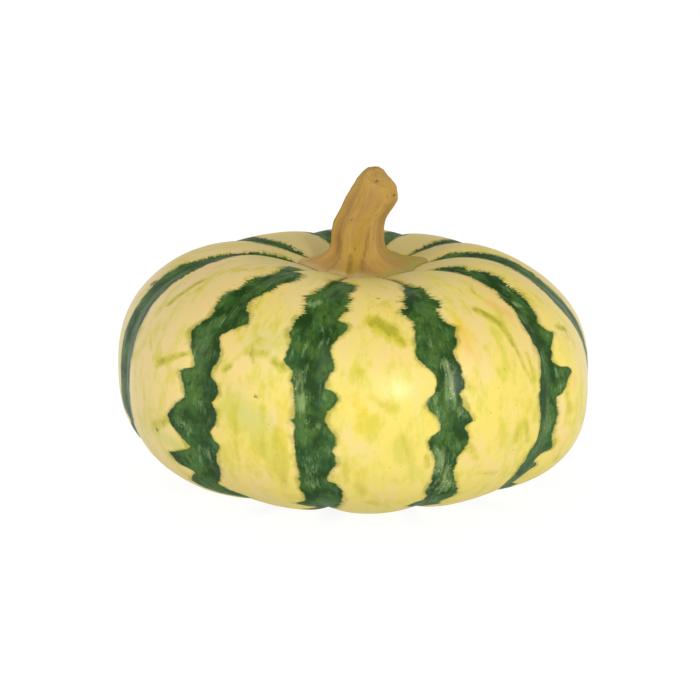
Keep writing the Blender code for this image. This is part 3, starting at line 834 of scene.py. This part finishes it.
# marks of the stem: azimuth and height above the ring at both ends, half width, strength
stemMarks = {
    "yellowStreaks": (
        (10, 44, 2, 38, 1.3, 0.8), (2, 38, -12, 31, 1.6, 1), (-12, 31, -14, 28, 1.8, 1),
        (30, 52, 24, 46, 1.6, 0.4), (62, 50, 72, 47, 2, 0.5),
    ),
    # grooves cut into the stem, with painted shade along them
    "darkGrooves": (
        (24, 41, 18, 36, 0.6, 0.8), (18, 36, 2, 31, 0.9, 0.7), (-14, 34, -17, 28.5, 0.7, 0.8),
        (36, 38, 32, 33, 0.5, 0.3), (-46, 37, -44, 31, 0.7, 0.35), (-62, 40, -66, 33, 0.7, 0.35),
        (70, 38, 78, 32, 0.7, 0.35), (120, 48, 124, 31, 0.7, 0.7), (168, 46, 186, 31, 0.7, 0.7),
        (236, 47, 240, 31, 0.7, 0.7),
    ),
    "spots": (
        (27, 44.7, 28, 44.8, 0.4, 0.9), (-24, 43.8, -24, 43.9, 0.4, 0.9), (36, 50, 37, 50, 0.35, 0.8),
        (70, 50, 75, 50, 0.5, 1),
        (12, 55.2, 26, 55.7, 0.7, 0.8), (-6, 35.6, -6, 35.8, 0.4, 0.8), (40, 47, 41, 47, 0.35, 0.6),
        (150, 50, 152, 50, 0.6, 1), (205, 44, 206, 44, 0.6, 0.9), (250, 52, 252, 52, 0.5, 0.9),
    ),
    "oliveStains": (
        (100, 31, 92, 33, 4.2, 1), (80, 30, 96, 31, 4.5, 1), (62, 31.5, 72, 30.5, 2.4, 0.7),
        (-88, 44, -84, 56, 1.4, 0.6), (150, 33, 150, 30, 4, 0.6),
    ),
    "orangeStains": (
        (-88, 31, -84, 33, 4.4, 1), (-70, 31, -40, 29.5, 3, 0.7), (20, 30, 40, 29.5, 2.5, 0.5),
        (215, 32, 220, 31, 4, 0.6),
    ),
    "paleStrips": (
        (34, 43, 40, 33, 2.2, 0.6), (-40, 48, -34, 54, 2.4, 0.4), (-86, 40, -84, 52, 1.2, 0.4),
        (200, 50, 200, 34, 1.6, 0.6),
    ),
}


def makeStem():
    form = stemForm
    endRows, bendRows, flareRows, underRows = form["rows"]
    azimuths = np.arange(form["segments"]) * 360 / form["segments"]

    def zone(shares):
        return np.meshgrid(azimuths, shares)

    top, neck = form["slices"][-1][0], form["neckHeight"]
    azimuth, inset = zone(1 - np.arange(endRows) / endRows)
    end = neckPoints(azimuth, np.full(azimuth.shape, float(top)), inset)
    end[..., 2] += form["endDome"] * (1 - (1 - inset) ** 2.2)
    azimuth, share = zone(np.arange(bendRows) / bendRows)
    bend = neckPoints(azimuth, top - (top - neck) * share**1.4, 0)
    azimuth, along = zone(1 - np.arange(flareRows) / flareRows)
    flare = flarePoints(azimuth, along)
    azimuth, under = zone(1 - np.arange(underRows + 1) / underRows)
    foot = footPoints(azimuth, under, 0)
    edge = flarePoints(azimuths[None, :], np.zeros((1, len(azimuths))))
    grid = np.concatenate([end, bend, flare, edge, foot])
    rows = len(grid) - 1

    azimuth = np.tile(azimuths, (rows + 1, 1))
    height = grid[..., 2].copy()
    onEnd = smoothStep((height - form["brokenFrom"]) / 4)
    plane = np.array(form["facet"]) / np.linalg.norm(form["facet"][:3])
    direction, reach = plane[:3], plane[3]
    beyond = np.maximum(grid @ direction - reach, 0)
    facet = smoothStep(beyond / 0.6)
    grid = grid - direction * (beyond * form["facetCut"])[..., None]
    # where the surface may be cut into: not on the thin foot's edge or underneath
    bare = np.zeros(azimuth.shape)
    last = endRows + bendRows + flareRows
    bare[:last] = smoothStep((last - 4 - np.arange(last)) / 40)[:, None]
    x, y = around(azimuth, form["grainRadius"])
    grain = np.stack([x, y, height], -1)
    normals = gridNormals(grid)
    normals[0] = (0, 0, 1)
    cut = np.zeros(azimuth.shape)
    fibre = np.zeros(azimuth.shape)
    for order, (depth, width, length) in enumerate(form["fibres"]):
        lump = randomHeights(grain / (width, width, length), 1, 5.1 + order * 17)
        fibre += depth * lump
        cut += depth * (0.5 - 0.5 * lump) * (1 - onEnd)
    for order, (depth, size) in enumerate(form["lumps"]):
        cut += depth * (0.5 - 0.5 * randomHeights(grid, size, 61 + order * 13))
    for order, (depth, size) in enumerate(form["endChips"]):
        chip = np.abs(randomHeights(grid, size, 83 + order * 19))
        cut += depth * chip * np.maximum(onEnd * 0.6, facet)
    amounts = [strokeAmount(marks, azimuth, height, form["markRadius"]) for marks in stemMarks.values()]
    _, grooves, dents = amounts[:3]
    valleys = np.clip(1 - ridgeAmount(azimuth) * 1.6, 0, 1) * (1 - onEnd)
    cut += grooves * form["grooveDepth"] + dents * form["spotDepth"] + valleys * form["valleyDepth"]
    grid = grid - normals * (cut * bare)[..., None]
    return sphereFromGrid("driedStem", fitted(grid + ringCentre), {
        "grain": grain,
        "streaks": np.stack(amounts[:3], -1),
        "stains": np.stack(amounts[3:], -1),
        # painted shade in the valleys between the ridges and where the fibres sink
        "hollow": np.clip(valleys * 0.8 - fibre * 1.4, 0, 1) * (1 - onEnd),
        "broken": np.maximum(onEnd * 0.5, facet),
        "rim": smoothStep((np.arange(rows + 1) - last + 16) / 16)[:, None] * np.ones(azimuth.shape),
    })


stemLook = {
    "tan": rgb(190, 148, 78),
    "deepTan": rgb(158, 118, 58),
    "gold": rgb(196, 158, 72),
    "yellow": rgb(184, 150, 46),
    # painted shade in the grooves
    "groove": rgb(116, 88, 30),
    "olive": rgb(164, 144, 52),
    "orange": rgb(202, 156, 84),
    "pale": rgb(206, 172, 106),
    "leftRim": rgb(206, 178, 116),
    "rightRim": rgb(168, 158, 74),
    "spot": rgb(92, 68, 28),
    "roughness": 0.75,
    "bump": 0.8,
}


def stemMaterial():
    look = stemLook
    material, shader, wire = newMaterial("driedStalk", look["roughness"], 0, 0.3, 0.2)
    grain = wire.attribute("grain", "Vector")
    side = wire.parts("grain")[0]
    yellow, groove, spot = wire.parts("streaks")
    olive, orange, pale = wire.parts("stains")
    hollow = wire.attribute("hollow")
    broken = wire.attribute("broken")
    rim = wire.attribute("rim")

    fibres = grain.grain(1.1, 0.09, 5, 0.7, 3)
    threads = grain.grain(3.2, 0.18, 4, 0.65, 11)
    cloudy = grain.grain(0.22, 0.14, 3, 0.55, 19)
    ragged = grain.grain(1.2, 0.8, 5, 0.7, 23)

    colour = cloudy.step(0.38, 0.64).paint(look["tan"], look["gold"])
    colour = (fibres.step(0.52, 0.30) * 0.45).paint(colour, look["deepTan"])
    colour = (threads.step(0.54, 0.74) * 0.35).paint(colour, look["pale"])
    colour = (threads.step(0.46, 0.28) * 0.3).paint(colour, look["deepTan"])
    # painted shade: darker in the stem's valleys
    colour = (hollow * 0.4).paint(colour, look["deepTan"])
    colour = ((orange + (cloudy - 0.5) * 0.8).step(0.2, 1.0) * 0.7).paint(colour, look["orange"])
    colour = ((olive + (cloudy - 0.5) * 0.8).step(0.2, 1.0) * 0.85).paint(colour, look["olive"])
    colour = ((pale + (fibres - 0.5) * 1.4).step(0.25, 1.1) * 0.5).paint(colour, look["pale"])
    streak = yellow + (fibres - 0.5) * 1.2 + (ragged - 0.5) * 0.8
    colour = (streak.step(0.15, 1.1) * 0.7).paint(colour, look["yellow"])
    colour = (broken * ragged.step(0.50, 0.66) * 0.45).paint(colour, look["pale"])
    colour = (broken * ragged.step(0.46, 0.32) * 0.5).paint(colour, look["deepTan"])
    # painted shade: darker along the grooves cut into the stem
    grooveShade = groove + (fibres - 0.5) * 1.6 + (ragged - 0.5) * 1.2
    colour = (grooveShade.step(0.3, 1.2) * 0.6).paint(colour, look["groove"])
    colour = ((spot + (ragged - 0.5) * 0.8).step(0.4, 0.9) * 0.7).paint(colour, look["spot"])
    colour = (grain.specks(0.5, 0.45, 0.10, 0.25) * 0.5).paint(colour, look["spot"])
    tip = side.step(-2, 4).paint(look["leftRim"], look["rightRim"])
    colour = ((rim + (ragged - 0.5) * 0.9).step(0.3, 1.0) * 0.75).paint(colour, tip)

    height = fibres * 0.34 + threads * 0.16 + ragged * 0.14
    feed(shader, "Base Color", colour)
    feed(shader, "Roughness", look["roughness"] + (ragged - 0.5) * 0.2)
    feed(shader, "Normal", bumped(wire, height, look["bump"]))
    return material


print("growing the stem")
stem = makeStem()
stem.data.materials.append(stemMaterial())
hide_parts("stem")
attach(stem, "root")


studio = {
    "floorSize": 12000,
    "floorColour": rgb(96, 96, 96, 1),
    "floorPatches": rgb(104, 104, 104, 1),
    "floorGlow": 0.91,
    "skyColour": rgb(255, 255, 255, 1),
    "skyLow": 1.0,  # the sky's strength near the horizon and overhead
    "skyHigh": 0.45,
    # each soft box: azimuth, height angle, distance, width, height and watts
    "softBoxes": (
        (22, 16, 1000, 150, 280, 4.2), (46, 20, 1100, 500, 420, 0.8), (-50, 30, 1300, 800, 800, 3.4),
        (175, 50, 1300, 900, 900, 2.0),
    ),
    "elevation": 14,
    "distance": 650,
    "sensorWidth": 36,
    "pictureWidth": 700,
    "pixelsPerMillimetre": 3.52,
    "aimRight": -1.925,
    "aimUp": 5.04,
}


def makeFloor():
    bpy.ops.object.select_all(action="DESELECT")
    bpy.ops.mesh.primitive_plane_add(size=studio["floorSize"] * mm, location=(0, 0, 0))
    floor = bpy.context.object
    floor.name = "floor"
    material, shader, wire = newMaterial("paleFloor", 0.9, 0, 0.3, 0.1)
    place = wire.add("ShaderNodeTexCoord", output="Object")
    cloudy = wire.add("ShaderNodeTexNoise", values={"Vector": place, "Scale": 3.0})
    feed(shader, "Base Color", cloudy.paint(studio["floorColour"], studio["floorPatches"]))
    shader.inputs["Emission Color"].default_value = (1, 1, 1, 1)
    shader.inputs["Emission Strength"].default_value = studio["floorGlow"]
    floor.data.materials.append(material)


def makeLights():
    world = bpy.data.worlds.new("paleRoom")
    world.use_nodes = True
    sky = world.node_tree.nodes["Background"]
    wire = Wire(world.node_tree)
    direction = wire.add("ShaderNodeTexCoord", output="Generated")
    raised = wire.add("ShaderNodeSeparateXYZ", values={0: direction}, output=2)
    strength = studio["skyLow"] + raised.step(0.15, 0.85) * (studio["skyHigh"] - studio["skyLow"])
    sky.inputs[0].default_value = studio["skyColour"]
    wire.tree.links.new(strength.socket, sky.inputs[1])
    bpy.context.scene.world = world
    middle = Vector(ringCentre * mm)
    for order, (azimuth, raised, distance, width, height, watts) in enumerate(studio["softBoxes"]):
        light = bpy.data.lights.new(f"softBox{order}", "AREA")
        light.shape = "RECTANGLE"
        light.size = width * mm
        light.size_y = height * mm
        light.energy = watts
        lamp = bpy.data.objects.new(f"softBox{order}", light)
        bpy.context.scene.collection.objects.link(lamp)
        x, y = around(azimuth, math.cos(math.radians(raised)))
        offset = Vector((x, y, math.sin(math.radians(raised)))) * distance * mm
        lamp.location = middle + offset
        lamp.rotation_euler = offset.to_track_quat("Z", "Y").to_euler()


def makeCamera():
    camera = bpy.data.cameras.new("camera")
    camera.sensor_width = studio["sensorWidth"]
    seenWidth = studio["pictureWidth"] / studio["pixelsPerMillimetre"]  # millimetres, at that distance
    camera.lens = studio["distance"] * studio["sensorWidth"] / seenWidth
    camera.clip_start = 0.01
    camera.clip_end = 50
    viewer = bpy.data.objects.new("camera", camera)
    bpy.context.scene.collection.objects.link(viewer)
    tilt = math.radians(studio["elevation"])
    forward = Vector((0, math.cos(tilt), -math.sin(tilt)))
    up = Vector((0, math.sin(tilt), math.cos(tilt)))
    aim = Vector(ringCentre) + Vector((1, 0, 0)) * studio["aimRight"] + up * studio["aimUp"]
    viewer.location = (aim - forward * studio["distance"]) * mm
    viewer.rotation_euler = (math.pi / 2 - tilt, 0, 0)
    bpy.context.scene.camera = viewer


print("setting the floor, light and camera")
makeFloor()
makeLights()
makeCamera()
bpy.context.scene.view_settings.view_transform = "Standard"

print("done")
